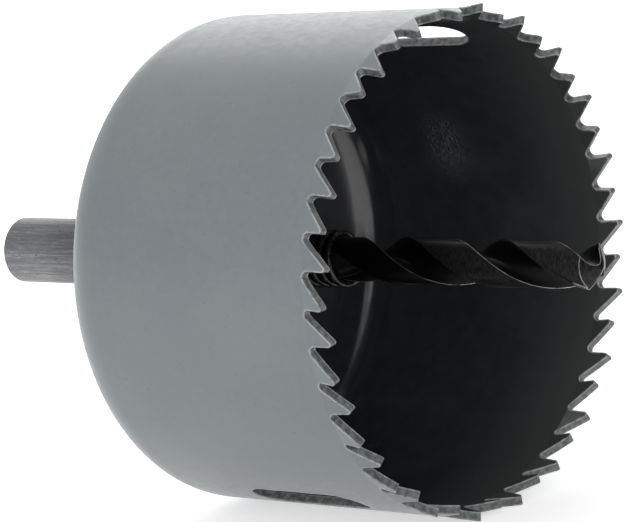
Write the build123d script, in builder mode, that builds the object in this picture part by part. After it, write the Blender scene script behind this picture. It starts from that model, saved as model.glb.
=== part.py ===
from build123d import *
from math import acos, atan2, cos, degrees, hypot, radians, sin, tan
import os

# Hole saw of the drawn-cup kind on its arbor, with a pilot drill and an ejector spring.
# Sizes are in millimetres. Every piece is modelled round the Z axis, as it is turned, with the
# teeth up and the shank's free end at the origin. Directions round the axis are in degrees.
# The last section lays the saw on its side: +X runs from the shank to the teeth, +Z is up.

# Cup
kerf_diameter = 68.0         # the hole that the outward teeth cut
tooth_set = 0.5              # how far a tip is bent off the wall, outward or inward
cup_wall = 1.2               # sheet thickness
cup_depth = 45.5             # back face to tooth tips
cup_corner_radius = 6.6      # outside of the drawn corner

# Teeth
tooth_count = 44             # an even number, because they lean out and in by turns
tooth_height = 3.1           # gullet floor to tip
gullet_radius = 0.7
tip_radius = 0.4             # each tip is a little blunt under its paint
rake_angle = 3.0             # undercut of the cutting face
tooth_root = 0.4             # straight strip under the gullets, where the bend begins

# Side slots
slot_count = 2
slot_width = 7.0
slot_length = 18.4           # over its round ends
slot_setback = 10.7          # tooth tips to the slot's front end
slot_turn = 27.8             # first slot, from the lowest line of the resting saw

# Arbor
shank_diameter = 9.5
shank_length = 28.0
shank_end_chamfer = 0.5
collar_diameter = 18.0
collar_length = 10.0
collar_across_flats = 16.0   # over the two wrench flats
collar_chamfer = 0.6
thread_diameter = 10.0       # the nose, over the crests of its thread
thread_proud = 1.5           # how far the nose stands out of the nut
thread_chamfer = 0.7
cup_hole_clearance = 0.1     # on the radius, between the cup's hole and the nose

# Nut and spring washer
nut_sides = 6
nut_across_flats = 17.0
nut_height = 5.0
nut_chamfer_angle = 30.0
nut_clearance = 0.05         # on the radius, between the nut's bore and the nose
washer_diameter = 16.2
washer_thickness = 1.8
washer_split = 1.4
washer_split_slant = 20.0
washer_clearance = 0.15      # on the radius, round the nose

# Pilot drill
drill_diameter = 6.35        # across the margins
drill_land_diameter = 6.05   # across the relieved lands
drill_shank_diameter = 5.9
drill_web = 1.2              # core between the flutes
drill_lead = 31.5            # one turn of the helix
drill_reach = 19.2           # how far the point stands in front of the tooth tips
drill_point_angle = 118.0
drill_flute_length = 42.0
drill_runout = 4.5           # where the flutes fade into the shank
drill_land_angle = 93.0      # of each land, round the axis
drill_margin_angle = 9.0
drill_web_angle = 120.0      # from a leading edge to the thinnest place of the web
drill_hook_angle = 10.0      # of the cutting face at its outer corner
drill_heel_angle = 70.0      # of the flute where it runs out at the heel
drill_relief_shift = 0.7     # offset of each flank's cone, which drops the heel behind the lip
drill_turn = 241.6           # direction of the first lip's outer corner
drill_grip = 8.0             # how far the drill sits in behind the cup's back face
drill_clearance = 0.05       # on the radius, in the arbor's bore

# Ejector spring
spring_wire = 0.75
spring_clearance = 0.26      # on the radius, round the drill's shank
spring_pitch = 1.55
spring_turns = 9

# Grub screw
grub_diameter = 5.0
grub_socket = 2.5            # across flats
grub_socket_depth = 2.2
grub_clearance = 0.05        # on the radius, in its tapped hole
grub_setback = 5.0           # behind the cup's back face
grub_sink = 0.4              # its head below the collar
grub_turn = 90.0             # direction it faces

# Heights along the axis, from the shank's free end
seat = shank_length + collar_length
tooth_tips = seat + cup_depth
gullet_level = tooth_tips - tooth_height
washer_base = seat + cup_wall
nut_base = washer_base + washer_thickness
nut_top = nut_base + nut_height
nose_top = nut_top + thread_proud
drill_base = seat - drill_grip
drill_top = tooth_tips + drill_reach
flute_base = drill_top - drill_flute_length

# Radii
cup_radius = kerf_diameter / 2 - tooth_set
bore_radius = cup_radius - cup_wall
cup_hole_radius = thread_diameter / 2 + cup_hole_clearance
corner_centre = cup_radius - cup_corner_radius
shank_radius = shank_diameter / 2
collar_radius = collar_diameter / 2
thread_radius = thread_diameter / 2
drill_radius = drill_diameter / 2
land_radius = drill_land_diameter / 2
drill_shank_radius = drill_shank_diameter / 2

lowest_line = 270.0          # direction that points down once the saw lies on its side


def at(direction, radius):
    """The point at a radius from the axis, in a direction in degrees."""
    return (radius * cos(radians(direction)), radius * sin(radians(direction)))


def facing(direction, radius=0.0, height=0.0):
    """A sketch plane that faces outward: its x runs round the axis and its y runs up."""
    x_out, y_out = at(direction, 1)
    x_round, y_round = at(direction + 90, 1)
    return Plane(
        origin=(radius * x_out, radius * y_out, height),
        x_dir=(x_round, y_round, 0),
        z_dir=(x_out, y_out, 0),
    )


# Tooth blank: the outline of one tooth, pushed through the wall. The cutting face points at
# (0, tooth_height), the teeth cut towards +x, and y = 0 is the gullet floor. The back of the
# tooth is the line that touches both the round tip and the gullet behind it.
tooth_turn = 360 / tooth_count
tooth_pitch = radians(tooth_turn) * cup_radius
rake_slope = tan(radians(rake_angle))
tip_x = -tip_radius * (rake_slope + 1 / cos(radians(rake_angle)))
tip_y = tooth_height - tip_radius
front_x = gullet_radius / cos(radians(rake_angle)) - (tooth_height - gullet_radius) * rake_slope
back_x = front_x - tooth_pitch
centre_distance = hypot(back_x - tip_x, gullet_radius - tip_y)
centre_bearing = 360 + degrees(atan2(gullet_radius - tip_y, back_x - tip_x))
back_facing = centre_bearing - degrees(acos((tip_radius + gullet_radius) / centre_distance))
blank_inside = bore_radius - 2 * tooth_set
blank_outside = cup_radius + 2 * tooth_set

with BuildPart() as tooth_blank:
    with BuildSketch(facing(0, blank_inside, gullet_level)):
        with BuildLine():
            face_out = at(-rake_angle, 1)
            back_out = at(back_facing, 1)
            CenterArc((tip_x, tip_y), tip_radius, -rake_angle, back_facing + rake_angle)
            Line(
                (tip_x + tip_radius * back_out[0], tip_y + tip_radius * back_out[1]),
                (
                    back_x - gullet_radius * back_out[0],
                    gullet_radius - gullet_radius * back_out[1],
                ),
            )
            CenterArc((back_x, gullet_radius), gullet_radius, back_facing + 180, 90 - back_facing)
            Polyline(
                (back_x, 0),
                (back_x, -tooth_root),
                (front_x, -tooth_root),
                (front_x, 0),
            )
            CenterArc((front_x, gullet_radius), gullet_radius, 270, -90 - rake_angle)
            Line(
                (
                    front_x - gullet_radius * face_out[0],
                    gullet_radius - gullet_radius * face_out[1],
                ),
                (tip_x + tip_radius * face_out[0], tip_y + tip_radius * face_out[1]),
            )
        make_face()
    extrude(amount=blank_outside - blank_inside)


def ring_of_teeth(lean, first_tip):
    """Every second tooth: a ring whose edge leans out or in, cut down to its teeth."""
    half_of_teeth = tooth_count // 2
    with BuildPart() as blanks:
        with PolarLocations(0, half_of_teeth, start_angle=first_tip):
            add(tooth_blank.part)
    with BuildPart() as ring:
        with BuildSketch(Plane.XZ):
            with BuildLine():
                Polyline(
                    (bore_radius, gullet_level - tooth_root),
                    (cup_radius, gullet_level - tooth_root),
                    (cup_radius, gullet_level),
                    (cup_radius + lean, tooth_tips),
                    (bore_radius + lean, tooth_tips),
                    (bore_radius, gullet_level),
                    close=True,
                )
            make_face()
        revolve(axis=Axis.Z)
        add(blanks.part, mode=Mode.INTERSECT)
    return ring


# Saw cup: one drawn cup. An inward tooth is at the lowest line, so the saw rests on the two
# outward teeth beside it.
with BuildPart() as saw_cup:
    with BuildSketch(Plane.XZ):
        with BuildLine():
            Line((cup_hole_radius, seat), (corner_centre, seat))
            CenterArc(
                (corner_centre, seat + cup_corner_radius), cup_corner_radius, 270, 90
            )
            Polyline(
                (cup_radius, seat + cup_corner_radius),
                (cup_radius, gullet_level - tooth_root),
                (bore_radius, gullet_level - tooth_root),
                (bore_radius, seat + cup_corner_radius),
            )
            CenterArc(
                (corner_centre, seat + cup_corner_radius), cup_corner_radius - cup_wall, 270, 90
            )
            Polyline(
                (corner_centre, seat + cup_wall),
                (cup_hole_radius, seat + cup_wall),
                (cup_hole_radius, seat),
            )
        make_face()
    revolve(axis=Axis.Z)
    for slot in range(slot_count):
        slot_direction = lowest_line - slot_turn + slot * 360 / slot_count
        slot_middle = tooth_tips - slot_setback - slot_length / 2
        with BuildSketch(facing(slot_direction, height=slot_middle)):
            SlotOverall(slot_length, slot_width, rotation=90)
        extrude(amount=blank_outside, mode=Mode.SUBTRACT)
    add(ring_of_teeth(tooth_set, lowest_line + tooth_turn).part)
    add(ring_of_teeth(-tooth_set, lowest_line).part)

# Arbor: round shank, collar with two wrench flats, threaded nose, bore for the drill
with BuildPart() as arbor:
    with BuildSketch(Plane.XZ):
        with BuildLine():
            Polyline(
                (0, 0),
                (shank_radius - shank_end_chamfer, 0),
                (shank_radius, shank_end_chamfer),
                (shank_radius, shank_length),
                (collar_radius - collar_chamfer, shank_length),
                (collar_radius, shank_length + collar_chamfer),
                (collar_radius, seat - collar_chamfer),
                (collar_radius - collar_chamfer, seat),
                (thread_radius, seat),
                (thread_radius, nose_top - thread_chamfer),
                (thread_radius - thread_chamfer, nose_top),
                (0, nose_top),
                close=True,
            )
        make_face()
    revolve(axis=Axis.Z)
    for wrench_direction in (grub_turn - 90, grub_turn + 90):
        with BuildSketch(
            facing(wrench_direction, collar_across_flats / 2, shank_length + collar_length / 2)
        ):
            Rectangle(collar_diameter, collar_length)
        extrude(amount=collar_diameter - collar_across_flats, mode=Mode.SUBTRACT)
    with BuildSketch(Plane.XY.offset(drill_base)):
        Circle(drill_shank_radius + drill_clearance)
    extrude(amount=nose_top - drill_base, mode=Mode.SUBTRACT)
    with BuildSketch(facing(grub_turn, height=seat - grub_setback)):
        Circle(grub_diameter / 2 + grub_clearance)
    extrude(amount=collar_diameter, mode=Mode.SUBTRACT)

# Lock nut: a thin hexagon nut with chamfered corners
with BuildPart() as lock_nut:
    with BuildSketch(Plane.XY.offset(nut_base)):
        RegularPolygon(nut_across_flats / 2, nut_sides, major_radius=False)
        Circle(thread_radius + nut_clearance, mode=Mode.SUBTRACT)
    extrude(amount=nut_height)
    corner_radius = nut_across_flats / 2 / cos(radians(180 / nut_sides))
    corner_drop = (corner_radius - nut_across_flats / 2) * tan(radians(nut_chamfer_angle))
    with BuildSketch(Plane.XZ):
        with BuildLine():
            Polyline(
                (0, nut_base),
                (nut_across_flats / 2, nut_base),
                (corner_radius, nut_base + corner_drop),
                (corner_radius, nut_top - corner_drop),
                (nut_across_flats / 2, nut_top),
                (0, nut_top),
                close=True,
            )
        make_face()
    revolve(axis=Axis.Z, mode=Mode.INTERSECT)

# Lock washer: a split spring washer, pressed flat
with BuildPart() as lock_washer:
    with BuildSketch(Plane.XY.offset(washer_base)):
        Circle(washer_diameter / 2)
        Circle(thread_radius + washer_clearance, mode=Mode.SUBTRACT)
    extrude(amount=washer_thickness)
    with BuildSketch(facing(grub_turn, height=washer_base + washer_thickness / 2)):
        Rectangle(washer_split, washer_thickness * 2, rotation=-washer_split_slant)
    extrude(amount=washer_diameter, mode=Mode.SUBTRACT)

# Pilot drill: a section with two lands and two flutes, twisted along the axis
point_slope = 1 / tan(radians(drill_point_angle / 2))
cone_apex = drill_top + drill_relief_shift * point_slope
lip_height = cone_apex - hypot(drill_radius, drill_relief_shift) * point_slope
section_turn = drill_turn - 360 * (lip_height - flute_base) / drill_lead
helix_height = drill_top - flute_base

with BuildPart() as pilot_drill:
    with BuildSketch(Plane.XY.offset(flute_base)):
        with BuildLine():
            for half_turn in (0, 180):
                edge = section_turn + half_turn
                margin_end = edge - drill_margin_angle
                heel = edge - drill_land_angle
                next_edge = edge - 180
                CenterArc((0, 0), drill_radius, edge, -drill_margin_angle)
                Line(at(margin_end, drill_radius), at(margin_end, land_radius))
                CenterArc(
                    (0, 0), land_radius, margin_end, drill_margin_angle - drill_land_angle
                )
                Spline(
                    at(heel, land_radius),
                    at(next_edge + 180 - drill_web_angle, drill_web / 2),
                    at(next_edge, drill_radius),
                    tangents=(
                        at(edge + drill_heel_angle, 1),
                        at(next_edge - drill_hook_angle, 1),
                    ),
                )
        make_face()
    with BuildLine(mode=Mode.PRIVATE) as spine:
        Line((0, 0, flute_base), (0, 0, drill_top))
    with BuildLine(mode=Mode.PRIVATE) as guide:
        Helix(drill_lead, helix_height, drill_radius, center=(0, 0, flute_base))
    sweep(path=spine.line, binormal=guide.wire())
    with BuildSketch(Plane.XZ):
        with BuildLine():
            Polyline(
                (0, drill_base),
                (drill_shank_radius, drill_base),
                (drill_shank_radius, flute_base),
                (drill_web / 2, flute_base + drill_runout),
                (0, flute_base + drill_runout),
                close=True,
            )
        make_face()
    revolve(axis=Axis.Z)
    for flank_direction in (drill_turn + 90, drill_turn - 90):
        shift_x, shift_y = at(flank_direction, drill_relief_shift)
        with BuildSketch(Plane.XZ.offset(-shift_y)):
            with BuildLine():
                Polyline(
                    (shift_x, drill_base),
                    (shift_x + drill_diameter, drill_base),
                    (shift_x + drill_diameter, cone_apex - drill_diameter * point_slope),
                    (shift_x, cone_apex),
                    close=True,
                )
            make_face()
        revolve(axis=Axis((shift_x, shift_y, 0), (0, 0, 1)), mode=Mode.INTERSECT)

# Ejector spring: round wire, with both ends ground flat. It stands on the arbor's nose.
coil_radius = drill_shank_radius + spring_clearance + spring_wire / 2
spring_length = spring_pitch * spring_turns
with BuildPart() as ejector_spring:
    with BuildLine() as coil:
        Helix(spring_pitch, spring_length, coil_radius, center=(0, 0, nose_top))
    with BuildSketch(Plane(origin=coil.line @ 0, z_dir=coil.line % 0)):
        Circle(spring_wire / 2)
    sweep(is_frenet=True)
    split(bisect_by=Plane.XY.offset(nose_top), keep=Keep.TOP)
    split(bisect_by=Plane.XY.offset(nose_top + spring_length), keep=Keep.BOTTOM)

# Grub screw: radial, its flat end on the drill's shank, with a hexagon socket
with BuildPart() as grub_screw:
    with BuildSketch(facing(grub_turn, drill_shank_radius, seat - grub_setback)):
        Circle(grub_diameter / 2)
    extrude(amount=collar_radius - grub_sink - drill_shank_radius)
    with BuildSketch(facing(grub_turn, collar_radius - grub_sink, seat - grub_setback)):
        RegularPolygon(grub_socket / 2, 6, major_radius=False)
    extrude(amount=-grub_socket_depth, mode=Mode.SUBTRACT)

# Lay the saw on its side: the turning axis becomes +X, and the lowest line points down
lay_down = Plane(origin=(0, 0, 0), x_dir=(0, 1, 0), z_dir=(1, 0, 0)).location
os.makedirs("parts", exist_ok=True)

saw_cup.part = lay_down * saw_cup.part
saw_cup.part.label = "saw_cup"
export_step(saw_cup.part, "parts/saw_cup.step")

arbor.part = lay_down * arbor.part
arbor.part.label = "arbor"
export_step(arbor.part, "parts/arbor.step")

lock_nut.part = lay_down * lock_nut.part
lock_nut.part.label = "lock_nut"
export_step(lock_nut.part, "parts/lock_nut.step")

lock_washer.part = lay_down * lock_washer.part
lock_washer.part.label = "lock_washer"
export_step(lock_washer.part, "parts/lock_washer.step")

pilot_drill.part = lay_down * pilot_drill.part
pilot_drill.part.label = "pilot_drill"
export_step(pilot_drill.part, "parts/pilot_drill.step")

ejector_spring.part = lay_down * ejector_spring.part
ejector_spring.part.label = "ejector_spring"
export_step(ejector_spring.part, "parts/ejector_spring.step")

grub_screw.part = lay_down * grub_screw.part
grub_screw.part.label = "grub_screw"
export_step(grub_screw.part, "parts/grub_screw.step")

print("overall length", drill_top, "tooth pitch", round(tooth_pitch, 2))
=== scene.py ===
# %% [markdown]
# # A hole saw on its arbor
# A hole saw is a drawn steel cup with teeth bent out of its rim. It is clamped to an arbor, whose
# shank goes into a drill chuck, and a pilot drill in the middle holds the saw on its mark. This
# lesson gives each piece its finish: satin grey paint, dark primer, scratched steel, black oxide
# and dull zinc. The pieces themselves come from a frame that is already at its real size, in
# metres, with the saw lying on its side and its shank's free end at the origin.

# %% Load the frame
from math import cos, pi, radians, sin

import bmesh
import bpy
from mathutils import Matrix, Vector


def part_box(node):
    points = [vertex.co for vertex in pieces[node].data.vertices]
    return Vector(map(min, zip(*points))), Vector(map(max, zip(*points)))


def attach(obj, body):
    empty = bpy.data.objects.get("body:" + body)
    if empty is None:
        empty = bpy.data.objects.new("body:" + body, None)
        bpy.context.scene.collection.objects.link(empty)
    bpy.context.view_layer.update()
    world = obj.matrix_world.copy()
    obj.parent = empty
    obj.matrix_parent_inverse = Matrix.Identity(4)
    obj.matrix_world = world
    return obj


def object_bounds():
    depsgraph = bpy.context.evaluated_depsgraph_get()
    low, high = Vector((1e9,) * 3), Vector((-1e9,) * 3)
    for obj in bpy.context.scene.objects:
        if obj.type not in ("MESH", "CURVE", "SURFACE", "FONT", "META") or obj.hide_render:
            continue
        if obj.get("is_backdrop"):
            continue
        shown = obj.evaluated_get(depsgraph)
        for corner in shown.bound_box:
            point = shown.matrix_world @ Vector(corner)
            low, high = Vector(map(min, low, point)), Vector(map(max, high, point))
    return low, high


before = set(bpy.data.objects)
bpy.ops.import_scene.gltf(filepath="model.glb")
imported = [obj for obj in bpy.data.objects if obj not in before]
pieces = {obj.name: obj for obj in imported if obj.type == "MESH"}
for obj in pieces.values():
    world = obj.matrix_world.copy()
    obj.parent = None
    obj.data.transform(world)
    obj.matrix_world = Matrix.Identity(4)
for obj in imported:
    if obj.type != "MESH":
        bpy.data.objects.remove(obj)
cad_low, cad_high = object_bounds()
mm = 0.001
print("pieces in the frame:", ", ".join(sorted(pieces)))

# %% [markdown]
# ## The camera
# A product picture of a tool is taken from some way off with a long lens, so that the round rim
# stays an even ellipse. The view here looks into the cup from the front and a little from above,
# and the camera is rolled a few degrees, which tips the tool's axis. We could set the camera by
# eye, but a place worked out from a target, a distance and three angles can be read and changed.

# %% The camera
view_target = Vector((55.12 * mm, 0.01 * mm, -0.42 * mm))
view_distance = 418.4 * mm
view_azimuth = radians(39.53)
view_elevation = radians(8.87)
view_roll = radians(5.53)
picture_lens = 175.43
sensor_width = 36.0

toward_camera = Vector(
    (
        sin(view_azimuth) * cos(view_elevation),
        -cos(view_azimuth) * cos(view_elevation),
        sin(view_elevation),
    )
)
camera = bpy.data.objects.new("camera", bpy.data.cameras.new("camera"))
camera.data.lens = picture_lens
camera.data.sensor_width = sensor_width
camera.location = view_target + toward_camera * view_distance
upright = toward_camera.to_track_quat("Z", "Y").to_matrix()
camera.rotation_euler = (upright @ Matrix.Rotation(-view_roll, 3, "Z")).to_euler()
bpy.context.scene.collection.objects.link(camera)
bpy.context.scene.camera = camera
bpy.context.scene.view_settings.view_transform = "Standard"
print("camera at", [round(place / mm) for place in camera.location], "mm")

# %% [markdown]
# ## A recipe for finishes
# Paint, scratched steel and black oxide are all made in the same way: a few masks say where a
# finish lies on the piece, and noise breaks it up. Blender's node editor does this by hand, and a
# script can do it with one small class that adds a node and plugs in its inputs. Each method
# below is one such node, under the name of what it does for a finish. Textures are measured in
# millimetres on the piece, so that a scratch stays as wide as a real one.


# %% The recipe class
class Recipe:
    """A finish, built up node by node. Its places and sizes are in millimetres."""

    def __init__(self, name):
        self.material = bpy.data.materials.new(name)
        self.material.use_nodes = True
        self.tree = self.material.node_tree
        self.tree.nodes.clear()

    def node(self, kind, inputs=None, **settings):
        step = self.tree.nodes.new("ShaderNode" + kind)
        for setting, value in settings.items():
            setattr(step, setting, value)
        for socket, value in (inputs or {}).items():
            if isinstance(value, bpy.types.NodeSocket):
                self.tree.links.new(value, step.inputs[socket])
            else:
                step.inputs[socket].default_value = value
        return step

    def math(self, operation, first, second=0.0, third=0.0):
        inputs = {0: first, 1: second, 2: third}
        return self.node("Math", inputs, operation=operation).outputs[0]

    def fade(self, value, start, end, low=0.0, high=1.0):
        """Low up to the start, high from the end on, and a soft change between them."""
        inputs = {"Value": value, "From Min": start, "From Max": end}
        inputs.update({"To Min": low, "To Max": high})
        return self.node("MapRange", inputs, interpolation_type="SMOOTHSTEP").outputs[0]

    def blend(self, amount, first, second):
        """A colour between two colours."""
        step = self.node("Mix", data_type="RGBA")
        for socket, value in ((0, amount), (6, first), (7, second)):
            if isinstance(value, bpy.types.NodeSocket):
                self.tree.links.new(value, step.inputs[socket])
            else:
                step.inputs[socket].default_value = value
        return step.outputs[2]

    def place(self):
        """Where the point lies on the piece, in millimetres."""
        spot = self.node("TexCoord").outputs["Object"]
        return self.node("VectorMath", {0: spot, "Scale": 1 / mm}, operation="SCALE").outputs[0]

    def apart(self, vector):
        return self.node("SeparateXYZ", {0: vector}).outputs

    def stretched(self, vector, x=1.0, y=1.0, z=1.0):
        return self.node("VectorMath", {0: vector, 1: (x, y, z)}, operation="MULTIPLY").outputs[0]

    def grain(self, vector, size, detail=3.0, rough=0.55):
        """Noise whose lumps are about this size, between 0 and 1 and mostly near 0.5."""
        inputs = {"Vector": vector, "Scale": 1 / size, "Detail": detail, "Roughness": rough}
        return self.node("TexNoise", inputs, noise_dimensions="3D").outputs["Fac"]

    def edges(self, width, faint=0.96, full=0.78):
        """1 on the sharp edges of a piece, where paint is thin and metal gets rubbed."""
        rounded = self.node("Bevel", {"Radius": width * mm}, samples=6).outputs[0]
        straight = self.node("NewGeometry").outputs["Normal"]
        match = self.node("VectorMath", {0: rounded, 1: straight}, operation="DOT_PRODUCT")
        return self.fade(match.outputs["Value"], faint, full)

    def bump(self, height, depth, normal=None):
        """Raises the surface by a depth in millimetres where the height is 1."""
        inputs = {"Height": height, "Strength": 1.0, "Distance": depth * mm}
        if normal is not None:
            inputs["Normal"] = normal
        return self.node("Bump", inputs).outputs[0]

    def finish(self, **inputs):
        """Ends the recipe in a Principled shader."""
        names = {socket.replace("_", " "): value for socket, value in inputs.items()}
        shader = self.node("BsdfPrincipled", names)
        output = self.node("OutputMaterial", {"Surface": shader.outputs[0]})
        print(self.material.name, "has", len(self.tree.nodes), "nodes")
        return output


def around_axis(recipe):
    """Splits a place into its height along the saw's axis and its distance from the axis."""
    place = recipe.place()
    along, across, up = recipe.apart(place)
    outward = recipe.node("CombineXYZ", {"Y": across, "Z": up}).outputs[0]
    away = recipe.node("VectorMath", {0: outward}, operation="LENGTH").outputs["Value"]
    return place, along, away, outward


# %% [markdown]
# ## White surroundings
# Tools like this are photographed in a white tent: light comes evenly from all sides, a lamp
# behind the top edge lifts it, and floor and background blow out to white. A white world does
# most of that. The Light Path node tells a ray from the camera from one that lights the tool,
# so the background can be pure white while the light on the tool stays at a plain level. The
# floor adds a little white of its own in the same way, and still keeps the saw's soft shadow.

# %% The world
tent_light = 0.86
world = bpy.data.worlds.new("white_tent")
world.use_nodes = True
world_tree = world.node_tree
world_tree.nodes.clear()
world_output = world_tree.nodes.new("ShaderNodeOutputWorld")
seen_or_lit = world_tree.nodes.new("ShaderNodeMixShader")
light_path = world_tree.nodes.new("ShaderNodeLightPath")
seen = light_path.outputs["Is Camera Ray"]
for ray in ("Is Glossy Ray", "Is Transmission Ray"):
    either = world_tree.nodes.new("ShaderNodeMath")
    either.operation = "MAXIMUM"
    world_tree.links.new(seen, either.inputs[0])
    world_tree.links.new(light_path.outputs[ray], either.inputs[1])
    seen = either.outputs[0]
world_tree.links.new(seen, seen_or_lit.inputs[0])
for socket, strength in ((1, tent_light), (2, 1.0)):
    white = world_tree.nodes.new("ShaderNodeBackground")
    white.inputs["Color"].default_value = (1, 1, 1, 1)
    white.inputs["Strength"].default_value = strength
    world_tree.links.new(white.outputs[0], seen_or_lit.inputs[socket])
world_tree.links.new(seen_or_lit.outputs[0], world_output.inputs["Surface"])
bpy.context.scene.world = world
print("the world lights the saw at", tent_light)

# %% The floor
floor_reach = 6.0
floor_lift = 0.55            # white that the floor adds where it is looked at
mirror_lift = 1.00           # and where gloss or glass shows it
floor_look = Recipe("pale_floor")
floor_path = floor_look.node("LightPath").outputs
floor_mirrored = floor_look.math(
    "MAXIMUM", floor_path["Is Glossy Ray"], floor_path["Is Transmission Ray"]
)
floor_seen = floor_look.math(
    "MAXIMUM",
    floor_look.math("MULTIPLY", floor_path["Is Camera Ray"], floor_lift),
    floor_look.math("MULTIPLY", floor_mirrored, mirror_lift),
)
floor_glow = floor_look.node("Emission", {"Strength": floor_seen})
floor_paint = floor_look.node("BsdfDiffuse", {"Color": (0.88, 0.88, 0.88, 1)})
floor_both = floor_look.node("AddShader", {0: floor_paint.outputs[0], 1: floor_glow.outputs[0]})
floor_look.node("OutputMaterial", {"Surface": floor_both.outputs[0]})

floor_mesh = bpy.data.meshes.new("floor")
floor_corners = [(-1, -1), (1, -1), (1, 1), (-1, 1)]
floor_mesh.from_pydata(
    [(x * floor_reach, y * floor_reach, cad_low[2]) for x, y in floor_corners], [], [(0, 1, 2, 3)]
)
floor = bpy.data.objects.new("floor", floor_mesh)
floor_mesh.materials.append(floor_look.material)
bpy.context.scene.collection.objects.link(floor)
floor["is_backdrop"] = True
print("floor at", round(cad_low[2] / mm, 2), "mm")

# %% [markdown]
# ## Lamps
# Three soft boxes are enough. A large one stands behind the saw, well above it: its light only
# grazes the top of the cup and draws the bright line there. Another is weaker and stands by the
# camera, so that the inside isn't lit by the tent alone. A small one stands low beside the mouth
# and lifts the inside wall, and it is kept out of mirror images, so that no square spot shows in
# the glossy primer. An area lamp's brightness is its power over its area, so each lamp here is
# given the brightness of its face and its size.
# A black card stands in front of the cup's mouth, out of the picture. Glossy black needs
# something dark to mirror: without the card the drill and the inside would look grey.


# %% The lamps
def soft_box(name, azimuth, elevation, distance, side, brightness):
    """A square lamp that faces the saw. Brightness 1 is as bright as the white tent."""
    lamp = bpy.data.objects.new(name, bpy.data.lights.new(name, "AREA"))
    lamp.data.shape = "SQUARE"
    lamp.data.size = side
    lamp.data.energy = brightness * pi * side * side
    bearing, height = radians(azimuth), radians(elevation)
    toward_lamp = Vector(
        (sin(bearing) * cos(height), -cos(bearing) * cos(height), sin(height))
    )
    lamp.location = view_target + toward_lamp * distance
    lamp.rotation_euler = toward_lamp.to_track_quat("Z", "Y").to_euler()
    lamp.visible_camera = False
    bpy.context.scene.collection.objects.link(lamp)
    print(name, "gives", round(lamp.data.energy, 2), "W")
    return lamp


soft_box("box_behind", 216, 30, 0.9, 0.7, 1.65)
soft_box("box_by_camera", 35, 14, 1.3, 0.5, 1.4)
soft_box("box_low", 62, 8, 0.45, 0.12, 3.5).visible_glossy = False

# %% The black card
card_bearing = radians(103)
card_away = 0.40
card_width, card_height = 0.70, 0.60
card_black = Recipe("black_card")
card_paint = card_black.node("BsdfDiffuse", {"Color": (0.01, 0.01, 0.01, 1)})
card_black.node("OutputMaterial", {"Surface": card_paint.outputs[0]})
card_mesh = bpy.data.meshes.new("black_card")
card_middle = view_target + Vector((sin(card_bearing), -cos(card_bearing), 0)) * card_away
card_side = Vector((cos(card_bearing), sin(card_bearing), 0)) * card_width / 2
card_foot = Vector((card_middle.x, card_middle.y, cad_low[2]))
card_top = card_foot + Vector((0, 0, card_height))
card_mesh.from_pydata(
    [card_foot - card_side, card_foot + card_side, card_top + card_side, card_top - card_side],
    [],
    [(0, 1, 2, 3)],
)
card_mesh.materials.append(card_black.material)
card = bpy.data.objects.new("black_card", card_mesh)
card.visible_camera = False
bpy.context.scene.collection.objects.link(card)
card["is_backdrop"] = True
print("the card stands", round(card_away / mm), "mm from the saw")

# %% [markdown]
# ## The cup's paint
# The cup is dipped in dark primer, and its outside is then sprayed satin grey. The teeth are
# set before the paint, so paint lies in the gullets too, but it runs thin on the sheared edges.
# One material can do all of it, because a point knows which way it faces. Outside, the surface
# faces away from the axis or towards the shank. Inside, it faces the axis or the teeth. A sheared
# face looks along neither. The light line on each edge is partly wear and partly a painted
# highlight, and its mask comes from the Bevel node, which needs no extra geometry.

# %% Where each paint lies
outside_grey = (0.172, 0.196, 0.208, 1)
outside_light = (0.192, 0.216, 0.228, 1)
primer = (0.030, 0.032, 0.038, 1)
primer_light = (0.037, 0.039, 0.045, 1)
# Painted light: the primer's lighter colour near the mouth.
painted_rim_light = (0.070, 0.076, 0.074, 1)
sheared_grey = (0.075, 0.082, 0.083, 1)
sheared_light = (0.210, 0.222, 0.228, 1)
worn_and_highlit_grey = (0.640, 0.660, 0.665, 1)
speck_grey = (0.05, 0.055, 0.06, 1)
speck_strength = 0.4
slots_begin = 50.0           # nothing is sheared further back than this
painted_rim_light_begins = 65.0      # painted light on the primer fades in from here to the tips
tooth_tips = 83.5
sheared_tilt = 0.35          # a sheared face looks less than this far along a radius

cup = Recipe("painted_steel")
cup_place, cup_along, _, cup_outward = around_axis(cup)
cup_radial = cup.node("VectorMath", {0: cup_outward}, operation="NORMALIZE").outputs[0]
cup_normal = cup.node("NewGeometry").outputs["True Normal"]
cup_facing = cup.node(
    "VectorMath", {0: cup_normal, 1: cup_radial}, operation="DOT_PRODUCT"
).outputs["Value"]
cup_forward = cup.apart(cup_normal)[0]
cup_outside = cup.math("GREATER_THAN", cup.math("SUBTRACT", cup_facing, cup_forward), 0.0)
cup_sheared = cup.math(
    "MULTIPLY",
    cup.math("LESS_THAN", cup.math("ABSOLUTE", cup_facing), sheared_tilt),
    cup.math("GREATER_THAN", cup_along, slots_begin),
)

# %% Paint outside and primer inside
mottle = cup.grain(cup_place, 1.1, detail=4.0)
clouds = cup.grain(cup_place, 14.0, detail=2.0)
outside_tone = cup.fade(cup.math("ADD", mottle, clouds), 0.75, 1.25)
outside_paint = cup.blend(outside_tone, outside_grey, outside_light)
specks = cup.fade(cup.grain(cup_place, 0.45, detail=1.0), 0.27, 0.22)
faint_specks = cup.math("MULTIPLY", specks, speck_strength)
outside_paint = cup.blend(faint_specks, outside_paint, speck_grey)

inside_tone = cup.fade(cup.grain(cup_place, 2.5, detail=5.0), 0.35, 0.7)
inside_paint = cup.blend(inside_tone, primer, primer_light)
# The primer is painted lighter towards the tips: painted light, standing in for the light that
# comes in at the mouth.
painted_rim_light_mask = cup.fade(cup_along, painted_rim_light_begins, tooth_tips)
inside_paint = cup.blend(painted_rim_light_mask, inside_paint, painted_rim_light)
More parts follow.
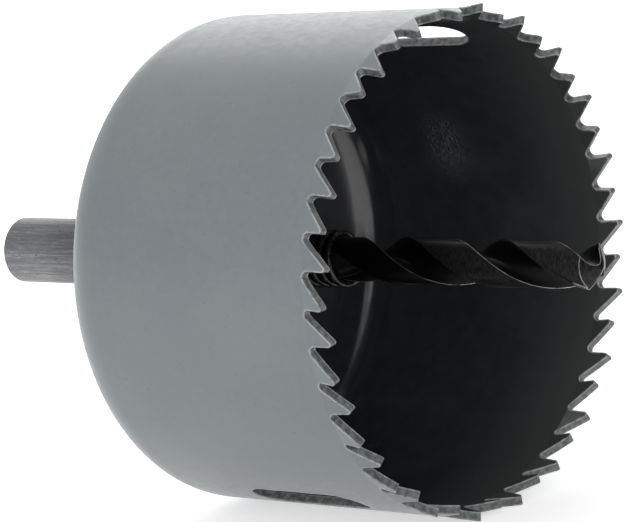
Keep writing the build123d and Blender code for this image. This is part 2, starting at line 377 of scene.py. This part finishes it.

# %% [markdown]
# ## A painted highlight inside
# A lighter patch on the far side of the wall is a painted highlight, standing in for the shine
# of the glossy primer there. It is placed by its own distance and bearing, and made of fine
# bright scratches that noise breaks up, so that it fades at its edges instead of ending in a
# line.

# %% The painted highlight
highlight_along, highlight_bearing = 56.9, 20.7
highlight_half_length, highlight_half_height = 5.0, 7.0
wall_inside = 32.3
# The patch's lighter grey is a painted highlight.
painted_highlight_grey = (0.125, 0.128, 0.136, 1)
highlight_middle = (
    highlight_along,
    wall_inside * cos(radians(highlight_bearing)),
    wall_inside * sin(radians(highlight_bearing)),
)
from_highlight = cup.node(
    "VectorMath", {0: cup_place, 1: highlight_middle}, operation="SUBTRACT"
).outputs[0]
from_highlight = cup.stretched(from_highlight, 1 / highlight_half_length, 0.2, 1 / highlight_half_height)
highlight_reach = cup.node("VectorMath", {0: from_highlight}, operation="LENGTH").outputs["Value"]
scratches = cup.grain(cup.stretched(cup_place, 1.8, 0.7, 0.7), 0.4, detail=3.0)
# A painted highlight: a soft patch of fine lighter scratches, strongest at its middle.
painted_highlight = cup.math(
    "MULTIPLY", cup.fade(highlight_reach, 1.15, 0.0), cup.fade(scratches, 0.30, 0.70)
)
inside_paint = cup.blend(painted_highlight, inside_paint, painted_highlight_grey)

# %% Sheared faces, edges with wear and painted highlight, and gloss
sheared_tone = cup.fade(cup.grain(cup_place, 0.7, detail=4.0), 0.38, 0.66)
sheared_paint = cup.blend(sheared_tone, sheared_grey, sheared_light)
cup_colour = cup.blend(cup_outside, inside_paint, outside_paint)
cup_colour = cup.blend(cup_sheared, cup_colour, sheared_paint)

# The light edge line is partly worn paint and partly a painted highlight of the rounded paint
# edges.
cup_edges = cup.edges(0.45, 0.985, 0.90)
wear_and_highlight_noise = cup.fade(cup.grain(cup_place, 1.0, detail=4.0), 0.34, 0.58, 0.30, 1.0)
edge_place = cup.math("GREATER_THAN", cup_along, slots_begin)
cup_wear_and_highlight = cup.math("MULTIPLY", cup.math("MULTIPLY", cup_edges, wear_and_highlight_noise), edge_place)
cup_colour = cup.blend(cup_wear_and_highlight, cup_colour, worn_and_highlit_grey)

outside_gloss = cup.fade(mottle, 0.3, 0.7, 0.36, 0.46)
inside_gloss = cup.fade(inside_tone, 0.0, 1.0, 0.13, 0.20)
inside_gloss = cup.math("ADD", inside_gloss, cup.math("MULTIPLY", painted_highlight, 0.2))
cup_smooth = cup.node("Mix", {0: cup_outside, 2: inside_gloss, 3: outside_gloss}).outputs[0]
cup_smooth = cup.node("Mix", {0: cup_sheared, 2: cup_smooth, 3: 0.5}).outputs[0]

cup_round = cup.node("Bevel", {"Radius": 0.30 * mm}, samples=6).outputs[0]
cup_skin = cup.bump(cup.grain(cup_place, 0.28, detail=2.0), 0.006, cup_round)
torn = cup.math("MULTIPLY", cup.grain(cup_place, 0.55, detail=4.0), cup_sheared)
cup_skin = cup.bump(torn, 0.12, cup_skin)
cup.finish(
    Base_Color=cup_colour, Roughness=cup_smooth, Specular_IOR_Level=0.62, Normal=cup_skin
)

# %% [markdown]
# ## Bare steel that has been in a chuck
# The shank is turned, then scratched along its length by chuck jaws and drawers full of tools.
# Noise that is stretched along the axis makes the scratches, and a second, shorter noise makes
# dents that catch the light. A metal's colour is all in its reflection, so the scratches change
# its roughness more than its colour.

# %% The arbor's steel
arbor = Recipe("bare_steel")
arbor_place, arbor_along, _, _ = around_axis(arbor)
long_scratches = arbor.grain(arbor.stretched(arbor_place, 0.05, 1.6, 1.6), 0.5, detail=4.0)
short_scratches = arbor.grain(arbor.stretched(arbor_place, 0.35, 2.2, 2.2), 0.5, detail=3.0)
pits = arbor.fade(arbor.grain(arbor_place, 0.5, detail=2.0), 0.33, 0.24)
steel_tone = arbor.fade(arbor.math("ADD", long_scratches, short_scratches), 0.75, 1.3)
# From 5 to 15 mm along, towards the cup, the steel is painted darker: painted shade where the
# cup's back shades the shank.
painted_shade_near_cup = arbor.fade(arbor_along, 5.0, 15.0)
plain_steel_dark, plain_steel_light = (0.150, 0.152, 0.160, 1), (0.215, 0.217, 0.225, 1)
painted_shade_dark, painted_shade_light = (0.098, 0.100, 0.106, 1), (0.150, 0.152, 0.160, 1)
dark_steel = arbor.blend(painted_shade_near_cup, plain_steel_dark, painted_shade_dark)
light_steel = arbor.blend(painted_shade_near_cup, plain_steel_light, painted_shade_light)
steel = arbor.blend(steel_tone, dark_steel, light_steel)
steel = arbor.blend(pits, steel, (0.03, 0.03, 0.032, 1))
bright_dashes = arbor.fade(short_scratches, 0.66, 0.76)
steel = arbor.blend(bright_dashes, steel, (0.40, 0.40, 0.41, 1))
steel = arbor.blend(arbor.edges(0.25), steel, (0.50, 0.50, 0.51, 1))
steel_gloss = arbor.fade(long_scratches, 0.3, 0.7, 0.62, 0.48)
steel_skin = arbor.bump(long_scratches, 0.012)
steel_skin = arbor.bump(arbor.math("SUBTRACT", short_scratches, pits), 0.014, steel_skin)
arbor.finish(Base_Color=steel, Metallic=1.0, Roughness=steel_gloss, Normal=steel_skin)

# %% [markdown]
# ## Black oxide on the drill
# Drills are ground first and blackened after, so the whole drill is black, but the ground lands
# and flanks stay a little lighter than the flutes. Use rubs the oxide off where the drill
# touches the wood: the heels of the lands and the edges of the point shine as thin bright lines.
# The land is found by its distance from the axis, and the flank by the way it faces. The heel
# winds round with the flutes, so it is found by its bearing, which turns with the height.

# %% The drill's oxide
land_radius = 3.02
drill_lead = 31.5            # one turn of the flutes
heel_height, heel_direction = 101.167, 148.6     # where a land's heel stands near the point
heel_bearing = heel_direction - 360 * heel_height / drill_lead
point_begins, point_bare = 99.4, 99.9
flank_tilt = 0.7
drill = Recipe("black_oxide")
drill_place, drill_along, drill_away, _ = around_axis(drill)
drill_normal = drill.node("NewGeometry").outputs["True Normal"]
on_land = drill.fade(drill_away, land_radius - 0.10, land_radius - 0.02)
on_flank = drill.math("GREATER_THAN", drill.apart(drill_normal)[0], flank_tilt)
past_runout = drill.fade(drill_along, 66.0, 86.0)
ground = drill.math("MAXIMUM", drill.math("MULTIPLY", on_land, past_runout), on_flank)
grinding = drill.grain(drill.stretched(drill_place, 2.4, 0.7, 0.7), 0.5, detail=4.0)
ground_black = drill.blend(
    drill.fade(grinding, 0.35, 0.65), (0.005, 0.005, 0.006, 1), (0.024, 0.0235, 0.025, 1)
)
oxide = drill.blend(ground, (0.0012, 0.0012, 0.0016, 1), ground_black)
heel_turn = drill.math(
    "MULTIPLY_ADD", drill_along, 2 * pi / drill_lead, radians(heel_bearing)
)
drill_y, drill_z = drill.apart(drill_place)[1:]
from_heel = drill.math("SUBTRACT", drill.math("ARCTAN2", drill_z, drill_y), heel_turn)
beside_heel = drill.math("COSINE", drill.math("MULTIPLY", from_heel, 2.0))
heel_only = drill.fade(beside_heel, 0.80, 0.92)
rubbed = drill.fade(drill.grain(drill_place, 2.6, detail=4.0), 0.34, 0.56, 0.15, 1.0)
rubbed = drill.math("MULTIPLY", rubbed, drill.fade(drill_along, 66.0, 88.0, 0.12, 1.0))
at_point = drill.fade(drill_along, point_begins, point_bare)
bare = drill.math("MULTIPLY", drill.math("MAXIMUM", heel_only, at_point), rubbed)
bare = drill.math("MULTIPLY", drill.edges(0.18, 0.98, 0.90), bare)
oxide = drill.blend(bare, oxide, (0.72, 0.71, 0.70, 1))
drill_gloss = drill.fade(grinding, 0.3, 0.7, 0.34, 0.46)
drill_skin = drill.bump(grinding, 0.012)
drill.finish(
    Base_Color=oxide,
    Metallic=drill.math("MULTIPLY", bare, 0.5),
    Roughness=drill_gloss,
    Specular_IOR_Level=0.16,
    Normal=drill_skin,
)

# %% [markdown]
# ## Spring wire, zinc and the thread
# The spring is blackened round wire, and its round section alone gives the thin line of light
# along each turn. The nut and the washer are dull zinc, which is mottled and a little cloudy.
# These are short recipes. The arbor's nose also needs its thread. The solids leave it plain, so
# the thread is added here as a real ridge that winds round the nose, because a bump map would
# vanish from the side.

# %% The spring's wire
spring = Recipe("spring_steel")
spring_place = spring.place()
wire_tone = spring.fade(spring.grain(spring_place, 0.8, detail=3.0), 0.35, 0.65)
wire = spring.blend(wire_tone, (0.012, 0.012, 0.013, 1), (0.045, 0.045, 0.048, 1))
wire_gloss = spring.fade(wire_tone, 0.0, 1.0, 0.24, 0.36)
wire_skin = spring.bump(spring.grain(spring_place, 0.3, detail=2.0), 0.006)
spring.finish(Base_Color=wire, Metallic=0.6, Roughness=wire_gloss, Normal=wire_skin)

# %% The nut's and washer's zinc
zinc = Recipe("plated_steel")
zinc_place = zinc.place()
zinc_tone = zinc.fade(zinc.grain(zinc_place, 1.6, detail=4.0), 0.35, 0.68)
plate = zinc.blend(zinc_tone, (0.34, 0.34, 0.35, 1), (0.50, 0.50, 0.51, 1))
plate = zinc.blend(zinc.edges(0.20), plate, (0.66, 0.66, 0.66, 1))
zinc_gloss = zinc.fade(zinc_tone, 0.0, 1.0, 0.46, 0.34)
zinc_skin = zinc.bump(zinc.grain(zinc_place, 0.35, detail=3.0), 0.01)
zinc.finish(Base_Color=plate, Metallic=1.0, Roughness=zinc_gloss, Normal=zinc_skin)

# %% The grub screw's oxide
grub = Recipe("black_oxide_screw")
grub_place = grub.place()
grub_tone = grub.fade(grub.grain(grub_place, 0.8, detail=3.0), 0.35, 0.65)
grub_black = grub.blend(grub_tone, (0.012, 0.012, 0.014, 1), (0.035, 0.035, 0.038, 1))
grub_black = grub.blend(grub.edges(0.12), grub_black, (0.20, 0.20, 0.20, 1))
grub_skin = grub.bump(grub.grain(grub_place, 0.3, detail=2.0), 0.01)
grub.finish(Base_Color=grub_black, Metallic=0.5, Roughness=0.42, Normal=grub_skin)

# %% Each piece gets its finish
looks = {
    "saw_cup": cup,
    "arbor": arbor,
    "pilot_drill": drill,
    "ejector_spring": spring,
    "lock_nut": zinc,
    "lock_washer": zinc,
    "grub_screw": grub,
}
for name, look in looks.items():
    pieces[name].data.materials.clear()
    pieces[name].data.materials.append(look.material)
print("finishes:", {name: look.material.name for name, look in looks.items()})

# %% The thread on the nose
thread_pitch = 1.25
thread_root = 4.97           # sunk a little into the plain nose
thread_crest = 5.10
nut_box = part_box("lock_nut")
nose_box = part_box("arbor")
thread_start = nut_box[1][0] / mm + 0.4
thread_end = nose_box[1][0] / mm - 0.75
steps_round = 72
root_half, crest_half = 0.40, 0.12
thread_foot = thread_root - 0.10


def thread_point(turn, radius, shift):
    """A point of the thread: so many turns on, at a radius, shifted along the axis."""
    bearing = 2 * pi * turn
    along = thread_start + thread_pitch * turn + shift
    return Vector((along, radius * cos(bearing), radius * sin(bearing))) * mm


thread_turns = (thread_end - thread_start) / thread_pitch
thread_steps = int(thread_turns * steps_round)
ridge = bmesh.new()
rows = []
for step in range(thread_steps + 1):
    turn = step / steps_round
    taper = min(1.0, step / 8, (thread_steps - step) / 8)
    crest = thread_root + (thread_crest - thread_root) * taper
    outer = ((thread_root, -root_half), (crest, -crest_half), (crest, crest_half))
    inner = ((thread_root, root_half), (thread_foot, root_half), (thread_foot, -root_half))
    corners = outer + inner
    rows.append([ridge.verts.new(thread_point(turn, r, shift)) for r, shift in corners])
for here, there in zip(rows, rows[1:]):
    for side in range(len(here)):
        after = (side + 1) % len(here)
        ridge.faces.new((here[side], here[after], there[after], there[side]))
ridge.faces.new(rows[0][::-1])
ridge.faces.new(rows[-1])
bmesh.ops.recalc_face_normals(ridge, faces=ridge.faces)
thread_mesh = bpy.data.meshes.new("nose_thread")
ridge.to_mesh(thread_mesh)
ridge.free()
nose_thread = bpy.data.objects.new("nose_thread", thread_mesh)
thread_mesh.materials.append(arbor.material)
bpy.context.scene.collection.objects.link(nose_thread)
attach(nose_thread, "root")
print("the thread shows", round(thread_turns, 2), "turns")

# %% [markdown]
# ## How much the size changes
# Nothing added here may make the tool bigger than its solids. The box of the whole object is
# kept from before and after the additions here, and the largest difference between the two is
# printed.

# %% Compare the sizes and finish
seen_low, seen_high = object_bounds()
cad_box = list(cad_low) + list(cad_high)
seen_box = list(seen_low) + list(seen_high)
grown = [abs(before - after) / mm for before, after in zip(cad_box, seen_box)]
print("the finished tool differs from its solids by at most", round(max(grown), 3), "mm")
